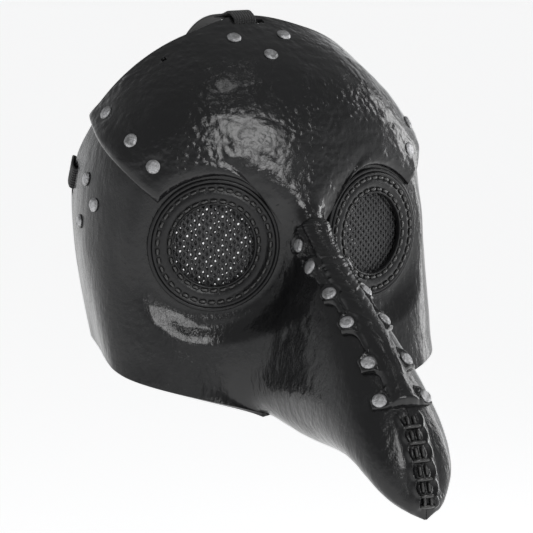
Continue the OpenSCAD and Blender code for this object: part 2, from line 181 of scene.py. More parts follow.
# Each row runs from the ridge down one side to the lower edge, as [sideways, forward, up],
# and the rows run from the rim behind the temples to the tip of the beak.
FACE_NET = np.array([
    [[0, 34, 106], [40, 34, 99], [69, 27, 78], [84, 13, 49], [86.5, 3, 12], [81, 4, -28], [80.5, 16, -53]],
    [[0, 54, 95], [42, 54, 88], [77.5, 48, 66], [91.5, 32, 37], [94, 27, 2], [90, 34, -34], [87, 44, -57]],
    [[0, 80, 71], [42, 78, 70], [78.5, 69, 51], [92, 57, 25],
     [95, 57, -8], [95.3, 63, -42], [96, 73, -64.5]],
    [[0, 92, 43], [32, 88, 40], [62, 80, 26], [74, 76, 2], [74, 78, -28], [71, 89, -57], [58, 96, -75]],
    [[0, 98, 18], [9, 96, 12], [17, 92, -2], [25, 89, -26], [35, 90, -50], [31, 93, -79], [0, 91, -96.5]],
    [[0, 132, -12], [12, 128, -15], [19, 122, -30], [26, 119, -52],
     [28, 119, -74], [21, 117, -93], [0, 117, -98]],
    [[0, 173, -37], [15, 171, -41], [23.5, 166, -51.5], [28.5, 160, -68],
     [26, 158, -82], [16, 157, -93], [0, 156, -97.5]],
    [[0, 204, -71], [14, 202, -73], [24, 198, -79.5], [26, 192, -88],
     [21, 188, -96], [11, 187, -99.5], [0, 186, -101.5]],
    [[0, 217, -98], [10, 216, -99], [18, 214, -102], [20, 210, -106],
     [16, 208, -110.5], [9, 207, -113], [0, 207, -114]],
    [[0, 217, -118]] * 7,
], float)


def widened_net():
    """The net with a row and column more past each edge: mirrored at the middle, straight elsewhere."""
    flip = np.array([-1.0, 1.0, 1.0])
    before = FACE_NET[:, 1] * flip
    closed = (FACE_NET[:, -1, 0] == 0)[:, None]
    after = np.where(closed, FACE_NET[:, -2] * flip, 2 * FACE_NET[:, -1] - FACE_NET[:, -2])
    wide = np.concatenate([before[:, None], FACE_NET, after[:, None]], axis=1)
    first = 2 * wide[0] - wide[1]
    last = 2 * wide[-1] - wide[-2]
    return np.concatenate([first[None], wide, last[None]])


NET = widened_net()


def weights(u):
    """Weights of four neighbouring points of a smooth cubic, part way from the second to the third."""
    second = 3 * u ** 3 - 6 * u ** 2 + 4
    third = -3 * u ** 3 + 3 * u ** 2 + 3 * u + 1
    return np.stack([(1 - u) ** 3, second, third, u ** 3]) / 6


def ease(x):
    """0 below 0, 1 above 1, and a smooth step between."""
    x = np.clip(x, 0, 1)
    return x * x * (3 - 2 * x)


def unit(v):
    """Vectors brought to length 1."""
    return v / np.maximum(np.linalg.norm(v, axis=-1, keepdims=True), 1e-9)


def dot(a, b):
    """Dot product over the last axis, kept as an axis."""
    return (a * b).sum(-1, keepdims=True)


def skin(s, t):
    """The face: smooth cubics over the net along and across it, flattened onto each eye's plane."""
    s, t = np.broadcast_arrays(np.asarray(s, float), np.asarray(t, float))
    side = np.where(t < 0, -1.0, 1.0)
    t = np.abs(t)
    i = np.clip(np.floor(s).astype(int), 0, 8)
    j = np.clip(np.floor(t).astype(int), 0, 5)
    along, across = weights(s - i), weights(t - j)
    p = sum(
        (along[k] * across[n])[..., None] * NET[i + k, j + n]
        for k in range(4) for n in range(4)
    ) * np.array([1, -1, 1])
    d = p - EYE
    h = dot(d, EYE_AXIS)
    r = np.linalg.norm(d - h * EYE_AXIS, axis=-1, keepdims=True)
    p = p - (1 - ease((r - FLAT_R) / FLAT_BLEND)) * ease(p[..., :1] / 10) * h * EYE_AXIS
    return p * np.stack([side, np.ones_like(side), np.ones_like(side)], axis=-1)


def outward(s, t):
    """Unit normal of the face, from small steps along and across it."""
    e = 0.02
    return unit(np.cross(skin(s + e, t) - skin(s - e, t), skin(s, t + e) - skin(s, t - e)))


def stand(s, t, h=0.0):
    """Frame on the leather: place, X towards the beak, Y down the rib, Z outwards."""
    z = outward(s, t)
    step = skin(np.add(s, 0.02), t) - skin(np.subtract(s, 0.02), t)
    x = unit(step - dot(step, z) * z)
    return skin(s, t) + h * z, x, np.cross(z, x), z


def near_marks(points, marks, reach):
    """1 within a reach of any mark on the leather, fading to 0 two millimetres further out."""
    nearest = np.full(points.shape[:-1], 1e9)
    for mark in marks:
        nearest = np.minimum(nearest, np.linalg.norm(points - skin(*mark), axis=-1))
    return 1 - ease((nearest - reach) / 2)


def mirrored(points, side):
    """Points drawn on the wearer's left, moved to the wanted side."""
    return points * np.array([side, 1, 1])


def lattice(cells, seed):
    """One fixed pseudo-random number from -1 to 1 for each whole-number cell."""
    q = cells.astype(np.int64) + seed
    n = (q[..., 0] * 73856093) ^ (q[..., 1] * 19349663) ^ (q[..., 2] * 83492791)
    n = (n * 2654435761) & 0xFFFFFFFF
    n = ((n >> 15) ^ n) * 2246822519 & 0xFFFFFFFF
    return (((n >> 13) ^ n) & 0xFFFF) / 32767.5 - 1


def lumps(points, size, seed=0):
    """Smooth noise from -1 to 1: cell values blended between the eight corners of each cell."""
    q = points / size + 512.3
    cell = np.floor(q)
    f = ease(q - cell)
    total = 0
    for a in (0, 1):
        for b in (0, 1):
            for c in (0, 1):
                corner = np.array([a, b, c])
                share = np.where(corner, f, 1 - f).prod(-1)
                total = total + share * lattice(cell + corner, seed)
    return total


def make_piece(name, points, faces, material):
    """A mesh object at the origin from points in millimetres and four-sided faces, turned outwards."""
    corner = points[faces]
    fan = np.cross(corner[:, 1], corner[:, 2]) + np.cross(corner[:, 2], corner[:, 3])
    if dot(corner[:, 0], fan).sum() < 0:
        faces = faces[:, ::-1]
    mesh = bpy.data.meshes.new(name)
    mesh.vertices.add(len(points))
    mesh.vertices.foreach_set("co", (np.asarray(points, float) * MM).ravel())
    mesh.loops.add(faces.size)
    mesh.loops.foreach_set("vertex_index", faces.ravel().astype(np.int32))
    mesh.polygons.add(len(faces))
    mesh.polygons.foreach_set("loop_start", (np.arange(len(faces)) * faces.shape[1]).astype(np.int32))
    mesh.update(calc_edges=True)
    mesh.polygons.foreach_set("use_smooth", np.full(len(faces), True))
    mesh.materials.append(material)
    mesh.validate()
    piece = bpy.data.objects.new(name, mesh)
    bpy.context.scene.collection.objects.link(piece)
    return piece


def shell(name, outer, inner, keep, material):
    """A closed sheet: two grids of points, their kept cells, and a wall wherever kept cells end."""
    rows, cols = outer.shape[:2]
    index = np.arange(rows * cols).reshape(rows, cols)
    cells = np.stack([index[:-1, :-1], index[1:, :-1], index[1:, 1:], index[:-1, 1:]], axis=-1)[keep]
    edges = np.stack([cells, np.roll(cells, -1, axis=1)], axis=-1).reshape(-1, 2)
    key = np.sort(edges, axis=1) @ np.array([rows * cols, 1])
    _, where, count = np.unique(key, return_index=True, return_counts=True)
    rim = edges[where[count == 1]]
    far = rows * cols
    walls = np.stack([rim[:, 1], rim[:, 0], rim[:, 0] + far, rim[:, 1] + far], axis=-1)
    faces = np.concatenate([cells, cells[:, ::-1] + far, walls])
    points = np.concatenate([outer.reshape(-1, 3), inner.reshape(-1, 3)])
    used, faces = np.unique(faces, return_inverse=True)
    return make_piece(name, points[used], faces.reshape(-1, 4), material)


def round_edges(piece, width, segments=3, angle=50):
    """Rounds a piece's sharp edges to a width in millimetres."""
    bevel = piece.modifiers.new("rounded_edges", "BEVEL")
    bevel.width = width * MM
    bevel.segments = segments
    bevel.limit_method = "ANGLE"
    bevel.angle_limit = math.radians(angle)
    bevel.use_clamp_overlap = True
    bevel.harden_normals = False


def slot_distance(points, place, x, y, long, wide):
    """Distance to a round-ended slot in a surface, negative inside, and the way out of it."""
    d = points - place
    u = dot(d, x)
    v = dot(d, y)
    run = (long - wide) / 2
    v = v - np.clip(v, -run, run)
    r = np.maximum(np.hypot(u, v), 1e-6)
    return (r - wide / 2)[..., 0], (u * x + v * y) / r


def cut_opening(outer, inner, keep, place, x, y, long, wide, reach):
    """Moves the points that lie near an opening's outline onto it, and drops the cells inside."""
    away, out = slot_distance(outer, place, x, y, long, wide)
    near = (np.abs(away) < reach)[..., None]
    shift = np.where(near, -away[..., None] * out, 0)
    close = (np.linalg.norm(outer - place, axis=-1) < long + 8)[..., None]
    outer, inner = outer + shift * close, inner + shift * close
    inside = (away < -reach * 0.5) & close[..., 0]
    hole = inside[:-1, :-1] | inside[1:, :-1] | inside[1:, 1:] | inside[:-1, 1:]
    return outer, inner, keep & ~hole


class Wire:
    """A shader value. Python's operators add Math nodes, and node() adds any other node."""

    def __init__(self, tree, socket=None):
        self.tree = tree
        self.socket = socket

    def feed(self, target, value):
        """Links a value to a socket, or sets the socket's own number or colour."""
        if isinstance(value, Wire):
            self.tree.links.new(value.socket, target)
        else:
            target.default_value = value

    def node(self, kind, settings=None, inputs=None, out=0):
        """Adds a node of a kind: its settings first, then its sockets' values or links."""
        made = self.tree.nodes.new(kind)
        for key, value in (settings or {}).items():
            if key == "ramp":
                while len(made.color_ramp.elements) < len(value):
                    made.color_ramp.elements.new(0.5)
                for stop, (position, colour) in zip(made.color_ramp.elements, value):
                    stop.position = position
                    stop.color = colour
            else:
                setattr(made, key, value)
        for key, value in (inputs or {}).items():
            self.feed(made.inputs[key], value)
        return Wire(self.tree, made.outputs[out])

    def math(self, operation, *values):
        """One Math node on this value and others."""
        return self.node("ShaderNodeMath", {"operation": operation}, dict(enumerate((self,) + values)))

    def flipped(self, operation, value):
        """A Math node whose first value is a plain number."""
        return self.node("ShaderNodeMath", {"operation": operation}, {0: value, 1: self})

    def __add__(self, other):
        return self.math("ADD", other)

    def __sub__(self, other):
        return self.math("SUBTRACT", other)

    def __rsub__(self, other):
        return self.flipped("SUBTRACT", other)

    def __mul__(self, other):
        return self.math("MULTIPLY", other)

    __radd__ = __add__
    __rmul__ = __mul__

    def between(self, low, high):
        """0 at low, 1 at high and a smooth step between."""
        return self.node("ShaderNodeMapRange", {"interpolation_type": "SMOOTHSTEP"},
                         {"Value": self, "From Min": low, "From Max": high})


def start_material(name, **fixed):
    """A material with the shader's own sockets set: returns the material, a Wire and the shader."""
    material = bpy.data.materials.new(name)
    material.use_nodes = True
    shader = material.node_tree.nodes["Principled BSDF"]
    for key, value in fixed.items():
        shader.inputs[key.replace("_", " ")].default_value = value
    return material, Wire(material.node_tree), shader


def stretched(wire, scale):
    """Object coordinates stretched by a factor along each axis."""
    place = wire.node("ShaderNodeTexCoord", out=3)
    return wire.node("ShaderNodeMapping", {"vector_type": "POINT"}, {"Vector": place, "Scale": scale})


def noise(wire, place, scale, detail=2.0, rough=0.5, bend=0.0):
    """Fractal noise from 0 to 1."""
    return wire.node("ShaderNodeTexNoise", None, {
        "Vector": place, "Scale": scale, "Detail": detail, "Roughness": rough, "Distortion": bend})


def mixed(wire, amount, first, second):
    """A colour part way between two others."""
    return wire.node("ShaderNodeMix", {"data_type": "RGBA"}, {0: amount, 6: first, 7: second}, out=2)


def gloss_leather(name, hammered, creased, roughness, crease_scale=(1, 1, 0.35), coat=0.3):
    """Black gloss-coated leather: pebbled grain, hammered dimples, long creases and dull scuffs."""
    material, wire, shader = start_material(name, Coat_Weight=coat, Coat_Roughness=0.07, IOR=1.42)
    place = stretched(wire, (1, 1, 1))
    warp = wire.node("ShaderNodeTexNoise", None, {"Vector": place, "Scale": 160.0, "Detail": 2.0}, out=1)
    bent = wire.node("ShaderNodeVectorMath", {"operation": "MULTIPLY_ADD"}, {
        0: warp, 1: (0.004, 0.004, 0.004), 2: place})
    dimple = wire.node("ShaderNodeTexVoronoi", {"feature": "SMOOTH_F1"}, {
        "Vector": bent, "Scale": 330.0, "Smoothness": 0.8})
    pebble = wire.node("ShaderNodeTexVoronoi", {"feature": "F1"}, {"Vector": bent, "Scale": 900.0})
    swell = noise(wire, place, 90.0, 3.0, 0.55, 0.4)
    long = noise(wire, stretched(wire, crease_scale), 420.0, 3.0, 0.6, 0.3)
    fine = noise(wire, place, 1900.0, 2.0, 0.6)
    patch = noise(wire, place, 28.0, 3.0, 0.6)
    strong = patch.between(0.40, 0.62)
    height = (
        (1 - dimple) * (strong * 0.7 + 0.3) * hammered
        + long * creased
        + (1 - pebble) * 0.10
        + swell * 0.35
        + fine * 0.03
    )
    scuff = noise(wire, place, 55.0, 6.0, 0.75).between(0.52, 0.72)
    wire.feed(shader.inputs["Base Color"], mixed(
        wire, scuff * 0.5 + fine * 0.2, (0.0075, 0.0075, 0.008, 1), (0.018, 0.018, 0.019, 1)))
    wire.feed(shader.inputs["Roughness"], roughness + scuff * 0.10 + long * 0.06)
    bump = wire.node("ShaderNodeBump", None, {"Height": height, "Strength": 1.0, "Distance": 0.0005})
    wire.feed(shader.inputs["Normal"], bump)
    return material


TEMPLE_RIVETS = [(0.95, 3.2), (1.5, 3.35), (0.9, 3.85)]
NOSE_RIVETS = [(4.44, 0.80), (4.78, 0.84), (5.21, 0.75), (5.66, 0.71), (6.23, 0.7), (6.72, 0.88)]
LACE_BARS = [7.15, 7.4, 7.7, 8.05, 8.4]
LACE_END = 8.72

side_leather = gloss_leather("side_leather", 0.45, 0.75, 0.20)


def tip_swell(s, t):
    """How far the front of the beak is rounded out just before its tip."""
    return 1.7 * np.exp(-((s - 8.5) / 0.27) ** 2) * ease((4.2 - t) / 2.4)


def side_height(points, s, t):
    """Relief of a moulded side panel: swells, folds by the nose, and scallops beside the beak's seam."""
    swell = 0.35 * lumps(points, 26, 3) + 0.16 * lumps(points, 11, 7)
    creases = 0.10 * lumps(points * np.array([1, 1, 0.3]), 3.2, 11)
    by_nose = np.exp(-((s - 4.7) / 0.7) ** 2) * ease((3.2 - t) / 0.8) * ease((t - 0.7) / 0.4)
    forward, up = points[..., 1], points[..., 2]
    slanted = np.stack([points[..., 0] / 9, (forward + up) / 9, (forward - up) / 2.6], axis=-1)
    folds = by_nose * (0.34 * lumps(slanted, 1.0, 5) + 0.22 * lumps(slanted * np.array([2, 2, 1.9]), 1.0, 19))
    plain = (swell + creases + folds) * (1 - near_marks(points, TEMPLE_RIVETS + NOSE_RIVETS, 4.5))
    x = np.abs(points[..., 0])
    below_strip = ease((s - 6.9) / 0.1) * ease((LACE_END - s) / 0.15) * (t < 3)
    bars = [2 * LACE_BARS[0] - LACE_BARS[1]] + LACE_BARS + [LACE_END]
    phase = np.interp(s, bars, np.arange(-1, len(LACE_BARS) + 1))
    edge = (4.2 + 1.7 * np.abs(np.sin(math.pi * phase)) ** 0.7) * (1 - 0.28 * ease((s - 8.0) / 0.7))
    scallop = 1.5 * np.exp(-((x - edge) / 0.95) ** 2) + 0.5 * ease((9.0 - x) / 3) * (x > edge)
    field = 0.25 * ease((edge - x) / 0.6)
    return plain + below_strip * (scallop - field) + tip_swell(s, t)


def panel_top(s):
    """Rib at which a side panel starts: under the forehead panel, then the ridge of the nose."""
    return 1.97 * (1 - ease(s - 1.7))


SIDE_SLOT = (-0.02, 3.6)
SLOT_L = 17.0
SLOT_W = 3.2
SIDE_ROWS = 236
SIDE_COLS = 148


def side_panel(side, name, node):
    """A grid of stations and ribs, raised by its relief, with the eye window and strap slot open.
    The rim is pulled back into a rounded tab round the slot, and a lip stands round the eye ring."""
    a = np.sort(np.concatenate([np.linspace(0, 1, SIDE_ROWS), np.linspace(0, 0.014, 5)[1:]]))[:, None]
    b = np.linspace(0, 1, SIDE_COLS)[None, :]
    s = TIP * a + 0 * b
    top = panel_top(s)
    t = top + (6 - top) * b
    rim = np.abs((t - 3.55) / 0.8)
    s_cut = s - 0.25 * np.where(rim < 1, (1 - rim ** 2) ** 2, 0) * (1 - a) ** 6
    base, normal = skin(s_cut, t), outward(s_cut, t)
    middle = np.array([SEAM, -np.inf, -np.inf])
    thin = (1 - 0.8 * ease((s - 8.2) / 0.7))[..., None]
    in_eye = np.linalg.norm(base - EYE, axis=-1)
    relief = side_height(base, s_cut, t) * ease((in_eye - 33.5) / 5) * ease((s - 0.05) / 0.3) ** 0.5
    lip = 0.9 * np.exp(-((in_eye - 37.5) / 2.2) ** 2) * ease((s_cut - 3.2) / 0.6)
    outer = np.maximum(base + (relief + lip)[..., None] * normal, middle)
    inner = np.maximum(base - PANEL_T * thin * normal, middle)
    keep = np.ones((outer.shape[0] - 1, outer.shape[1] - 1), bool)
    window = 2 * (WINDOW_R + 2.0)
    outer, inner, keep = cut_opening(outer, inner, keep, EYE, EYE_SIDE, UP, window, window, 0.7)
    place, x, y, _ = stand(*SIDE_SLOT)
    outer, inner, keep = cut_opening(outer, inner, keep, place, x, y, SLOT_L, SLOT_W, 0.55)
    if side == RIGHT:
        outer, inner = mirrored(outer, side)[:, ::-1], mirrored(inner, side)[:, ::-1]
        keep = keep[:, ::-1]
    piece = shell(name, outer, inner, keep, side_leather)
    round_edges(piece, 0.6)
    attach(piece, "mask")
    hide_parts(node)


side_panel(RIGHT, "right_cheek_leather", "right_side_panel")
side_panel(LEFT, "left_cheek_leather", "left_side_panel")


# ---------------------------------------------------------------------------------------------
# Forehead panel: a second piece of leather from rim to brow, skived and rounded at its edge and
# laid over the side panels. Its face is hammered. It has a slotted tab at the crown.

LAYER_GAP = 0.25
BROW_RIB = 2.71
BROW_EDGE = np.array([
    [4.32, 0], [4.32, 0.4], [4.28, 0.85], [4.12, 1.16], [3.62, 1.02], [3.18, 1.12],
    [2.93, 1.42], [2.78, 1.9], [2.68, 2.47],
])
HANG_HOLE = (0.43, 1.3)
HANG_D = 2.8
CROWN_SLOT = (0.04, 0.0)
BROW_RIVETS = [(0.54, 2.33), (1.67, 2.15), (2.3, 2.11)]
CROWN_RIVETS = [(0.56, -0.34), (0.56, 0.34), (1.13, 0.0)]
EDGE_ROLL = 2.6

forehead_leather = gloss_leather("forehead_leather", 1.15, 0.25, 0.16, (1, 1, 1))


def smooth_line(points, x):
    """A smooth cubic along a list of points, at parameters from 0 to the last index."""
    n = len(points) - 1
    wide = np.concatenate([[2 * points[0] - points[1]], points, [2 * points[-1] - points[-2]]])
    i = np.clip(np.floor(x).astype(int), 0, n - 1)
    w = weights(x - i)
    return sum(w[k][..., None] * wide[i + k] for k in range(4))


def forehead_panel():
    """Lines fan from the rim to the brow edge on both sides of the middle, and are raised by relief."""
    a = np.sort(np.concatenate([
        np.linspace(0, 1, 112), np.linspace(0.005, 0.15, 18), np.linspace(0.962, 0.998, 10)]))[:, None]
    half = np.sort(np.concatenate([
        np.linspace(0, 1, 96), np.linspace(0.456, 0.496, 7), np.linspace(0.004, 0.1, 5),
        np.linspace(0.962, 0.998, 9)]))
    b = np.concatenate([-half[:0:-1], half])[None, :]
    size = np.abs(b)
    rib = BROW_RIB * size
    edge = smooth_line(BROW_EDGE, 8 * size[0])[None]
    tab = np.where(rib < 0.85, (1 - (rib / 0.85) ** 2) ** 2, 0)
    s0 = -0.20 * tab
    s = s0 + (edge[..., 0] - s0) * a
    t = (rib + (edge[..., 1] - rib) * a) * np.where(b < 0, -1, 1)
    base, normal = skin(s, t), outward(s, t)
    relief = 0.30 * lumps(base, 24, 31) + 0.22 * lumps(base, 9, 37) + 0.20 * np.abs(lumps(base, 4.6, 41))
    relief = relief + 0.13 * lumps(base / np.array([14, 3.2, 3.2]), 1.0, 43)
    calm = ease(a / 0.05) * ease((1 - a) / 0.03) * ease((1 - size) / 0.02)
    seats = BROW_RIVETS + [(row, -column) for row, column in BROW_RIVETS] + CROWN_RIVETS
    calm = calm * (1 - near_marks(base, seats, 4.5))
    from_front = (1 - a) * np.linalg.norm(base[:1] - base[-1:], axis=-1)
    from_side = (1 - size) * BROW_RIB * np.linalg.norm(skin(s, t + 0.05) - skin(s, t - 0.05), axis=-1) / 0.1
    inset = np.minimum(from_front, from_side)
    roll = np.sqrt(1 - (1 - np.clip(inset / EDGE_ROLL, 0, 1)) ** 2)
    under_strip = 1 - ease((4.0 - s) / 0.5)
    ridge = 1.1 * np.exp(-((inset - 3.0) / 5.0) ** 2)
    puff = ((PANEL_T + ridge) * roll + 0.1) * (1 - under_strip) + 0.3 * under_strip
    outer = base + (relief * calm + puff + LAYER_GAP + 0.3)[..., None] * normal
    inner = base + LAYER_GAP * normal
    keep = np.ones((outer.shape[0] - 1, outer.shape[1] - 1), bool)
    place, x, y, _ = stand(*CROWN_SLOT)
    outer, inner, keep = cut_opening(outer, inner, keep, place, x, y, SLOT_L, SLOT_W, 0.5)
    for side in (RIGHT, LEFT):
        place, x, y, _ = (mirrored(v, side) for v in stand(*HANG_HOLE))
        outer, inner, keep = cut_opening(outer, inner, keep, place, x, y, HANG_D, HANG_D, 0.35)
    piece = shell("brow_leather", outer, inner, keep, forehead_leather)
    round_edges(piece, 0.9, 4)
    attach(piece, "mask")
    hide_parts("forehead_panel")


forehead_panel()


# ---------------------------------------------------------------------------------------------
# Nose strip: a padded leather strip laid over the ridge, where the side panels meet. It is cut
# with a lobe for each rivet and deep bites between them, and its edge is turned under.

STRIP_TOP = 4.10
STRIP_END = 6.86
STRIP_HALF = [
    [3.98, 0.95], [4.33, 1.18], [4.76, 1.18], [5.21, 1.08], [5.66, 1.04], [6.23, 1.02], [6.86, 1.26],
]
BITE_DEPTH = [0.08, 0.16, 0.26, 0.42, 0.54]
STRIP_T = 2.0

strip_leather = gloss_leather("strip_leather", 0.35, 0.55, 0.17, (1, 1, 1))


def strip_half(s):
    """Half width of the strip in ribs: a line through the lobes, bitten with a flat U between rivets."""
    half = np.interp(s, *np.transpose(STRIP_HALF))
    for i, depth in enumerate(BITE_DEPTH):
        first, second = NOSE_RIVETS[i][0], NOSE_RIVETS[i + 1][0]
        u = np.clip(np.abs(s - (first + second) / 2) / (0.36 * (second - first)), 0, 1)
        half = half * (1 - depth * (1 - u ** 4) ** 1.5)
    return half


def nose_strip():
    """Rows run down the ridge and columns across it; a quarter-round edge, a spine and lobes raise it."""
    a = np.linspace(0, 1, 330)[:, None]
    b = np.linspace(-1, 1, 97)[None, :]
    size = np.abs(b)
    round_top = 0.46 * (1 - np.sqrt(1 - size ** 2)) * (1 - a) ** 4
    bowed_end = 0.08 * size ** 2 * a ** 8
    s = STRIP_TOP + (STRIP_END - STRIP_TOP) * a + round_top - bowed_end
    half = strip_half(s)
    t = b * half
    base, normal = skin(s, t), outward(s, t)
    along = np.linalg.norm(skin(s + 0.05, t) - skin(s - 0.05, t), axis=-1) / 0.1
    across = np.linalg.norm(skin(s, t + 0.05) - skin(s, t - 0.05), axis=-1) / 0.1
    from_side = (1 - size) * half * across
    from_top = (s - s[:1]) * along
    from_end = (s[-1:] - s) * along
    inset = np.minimum(np.minimum(from_side, from_top), from_end)
    roll = np.sqrt(1 - (1 - np.clip(inset / 2.3, 0, 1)) ** 2)
    x = np.abs(t) * across
    tall = 1.2 + 1.2 * ease((s - 4.2) / 0.6)
    spine = tall * np.clip(1 - (x / 6.8) ** 2, 0, 1) ** 0.85 * ease(inset / 5)
    gutter = -0.7 * np.exp(-((x - 7.4) / 1.3) ** 2)
    lip = 1.1 * np.exp(-((from_end - 2.4) / 1.8) ** 2)
    bead = 0.5 * np.exp(-((from_side - 2.3) / 1.1) ** 2) * ease((s - 5.0) / 0.3)
    pleats = np.stack([t * across / 9, (s * along + 1.5 * x) / 2.1, 0 * s], axis=-1)
    wrinkles = (0.20 + 0.26 * ease((6.0 - s) / 0.8)) * lumps(pleats, 1.0, 53)
    wrinkles = wrinkles + 0.20 * lumps(base, 7, 57)
    marks = NOSE_RIVETS + [(station, -rib) for station, rib in NOSE_RIVETS]
    seat = near_marks(base, marks, 3.7)
    over_brow = 1.1 * (1 - ease((s - 4.2) / 0.4))
    cup = 0.6 * near_marks(base, marks, 4.6) * (1 - near_marks(base, marks, 3.1)) * ease((x - 6) / 2)
    relief = spine + gutter + lip + bead + wrinkles * ease(inset / 3)
    rise = 0.5 + 1.6 * roll + over_brow + cup * roll + relief * (1 - seat)
    outer = base + (LAYER_GAP + rise)[..., None] * normal
    inner = base + (LAYER_GAP * 0.4) * normal
    keep = np.ones((outer.shape[0] - 1, outer.shape[1] - 1), bool)
    piece = shell("nose_strip_leather", outer, inner, keep, strip_leather)
    round_edges(piece, 0.35, 2)
    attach(piece, "mask")
    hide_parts("nose_strip")


nose_strip()


# ---------------------------------------------------------------------------------------------
# Beak lacing: round waxed cord crosses the seam below the strip, pulled down between the
# scalloped leather edges, with a pair of shorter threads between one crossing and the next.


def closed_bars(paths, normals, section, swell):
    """Bars along paths: a section of [across, lift] points, scaled at each step and closed at both ends.
    Across is along x normal, lift is across x along, and the shape is (bars, steps, section points)."""
    tangent = unit(np.gradient(paths, axis=1))
    across = unit(np.cross(tangent, normals))
    lift = np.cross(across, tangent)
    scale = swell[..., None, None]
    flat = section[:, :1] * across[:, :, None] + section[:, 1:] * lift[:, :, None]
    points = paths[:, :, None] + scale * flat
    bars, steps, count = points.shape[:3]
    index = np.arange(bars * steps * count).reshape(bars, steps, count)
    turned = np.roll(index, -1, axis=2)
    walls = np.stack([index[:, :-1], index[:, 1:], turned[:, 1:], turned[:, :-1]], axis=-1).reshape(-1, 4)
    j = np.arange(count // 2 - 1)
    lid = np.stack([j, j + 1, count - 2 - j, count - 1 - j], axis=-1)
    first = index[:, 0][:, lid].reshape(-1, 4)
    last = index[:, -1][:, lid[:, ::-1]].reshape(-1, 4)
    return points.reshape(-1, 3), np.concatenate([walls, first, last])


def circle(radius, count, squash=1.0):
    """A round section, pressed flatter by a factor."""
    angle = (np.arange(count) + 0.5) * 2 * math.pi / count
    return radius * np.stack([np.cos(angle), squash * np.sin(angle)], axis=-1)


def bent_cords(middles, directions, normals, length, arch, radius, steps=9, count=10):
    """Short cords that rise over the leather and dive into it at both ends, with rounded tips."""
    u = np.linspace(-1, 1, steps)[None, :, None]
    rise = arch * (1 - np.abs(u) ** 3)
    paths = middles[:, None] + directions[:, None] * u * length / 2 + normals[:, None] * rise
    swell = np.sqrt(1 - 0.93 * np.abs(u[..., 0]) ** 6) * np.ones((len(middles), 1))
    lift = np.repeat(normals[:, None], steps, axis=1)
    return closed_bars(paths, lift, circle(radius, count), swell)


def joined(*parts):
    """Several [points, faces] parts as one."""
    points, faces, start = [], [], 0
    for part_points, part_faces in parts:
        points.append(part_points)
        faces.append(part_faces + start)
        start += len(part_points)
    return np.concatenate(points), np.concatenate(faces)


def waxed_cord(name, twist_scale):
    """Black waxed cord: laid strands as fine slanting ridges, a dull body and shiny worn crowns."""
    material, wire, shader = start_material(name, Coat_Weight=0.6, Coat_Roughness=0.16)
    place = stretched(wire, (1, 1, 1))
    strands = wire.node("ShaderNodeTexWave", {"wave_type": "BANDS", "bands_direction": "DIAGONAL"}, {
        "Vector": place, "Scale": twist_scale, "Distortion": 2.0, "Detail": 1.0})
    fluff = noise(wire, place, 2500.0, 2.0, 0.6)
    wear = noise(wire, place, 160.0, 3.0, 0.6)
    wire.feed(shader.inputs["Base Color"], mixed(
        wire, wear, (0.008, 0.008, 0.008, 1), (0.030, 0.029, 0.028, 1)))
    wire.feed(shader.inputs["Roughness"], 0.24 + 0.20 * wear)
    bump = wire.node("ShaderNodeBump", None, {
        "Height": strands + fluff * 0.3, "Strength": 0.7, "Distance": 0.00025})
    wire.feed(shader.inputs["Normal"], bump)
    return material


lace_cord = waxed_cord("lace_cord", 260.0)


def ridge_cords(stations, rib, length, offset, turn, radius, arch):
    """Cords that stand on the face at stations along one rib, turned across it or along it."""
    place, x, y, z = stand(np.array(stations), np.full(len(stations), rib))
    directions, sideways = (y, x) if turn else (x, y)
    place = place + offset * sideways + (tip_swell(np.array(stations), rib) - 0.35)[:, None] * z
    return bent_cords(place, directions, z, length, arch, radius)


between = [(first + second) / 2 for first, second in zip([6.96] + LACE_BARS, LACE_BARS + [8.66])]
cords = joined(
    ridge_cords(LACE_BARS[:4], 0.0, 10.6, 0.0, True, 1.0, 1.5),
    ridge_cords(LACE_BARS[4:] + [8.64], 0.0, 8.2, 0.0, True, 1.0, 1.4),
    ridge_cords(between, 0.0, 5.8, 1.8, False, 0.78, 1.0),
    ridge_cords(between, 0.0, 5.8, -1.8, False, 0.78, 1.0),
)
lacing = make_piece("beak_lacing_cord", *cords, lace_cord)
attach(lacing, "mask")
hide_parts("beak_lacing")


# ---------------------------------------------------------------------------------------------
# Stitching under the beak: the same cord closes the lower seam with evenly spaced crossings.

UNDER_STITCHES = [4.7 + 0.27 * i for i in range(14)]

under_cords = ridge_cords(UNDER_STITCHES, 6.0, 6.6, 0.0, True, 0.75, 1.2)
under_stitching = make_piece("beak_under_cord", *under_cords, lace_cord)
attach(under_stitching, "mask")
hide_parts("beak_under_stitching")


# ---------------------------------------------------------------------------------------------
# Eye rings: a padded leather washer around each window, pulled into two grooves by its rows of
# stitches, so a puffed band stands between them and a thin bead runs along both edges.

RING_R = 31.2
OUTER_ROW = RING_R - 2.8
INNER_ROW = WINDOW_R + 2.0
RING_PROFILE = np.array([
    [20.5, -0.2], [20.35, 1.2], [20.5, 2.1], [20.95, 2.45], [21.4, 2.35], [21.75, 1.95], [22.5, 1.75],
    [23.2, 1.95], [23.9, 2.45], [25.2, 2.8], [26.4, 2.7], [27.3, 2.2], [28.4, 1.8], [29.3, 2.05],
    [29.9, 2.5], [30.5, 2.6], [31.0, 2.2], [31.25, 1.4], [31.2, -0.2],
])
PROFILE_STEPS = 56
RING_STEPS = 220
OUTER_STITCHES = 39
INNER_STITCHES = 30

ring_leather = gloss_leather("ring_leather", 0.20, 0.45, 0.30, (1, 1, 1), 0.06)


def wrapped_faces(rows, cols):
    """Faces of a grid of points that closes on itself both ways."""
    index = np.arange(rows * cols).reshape(rows, cols)
    on, over = np.roll(index, -1, axis=0), np.roll(index, -1, axis=1)
    return np.stack([index, on, np.roll(on, -1, axis=1), over], axis=-1).reshape(-1, 4)


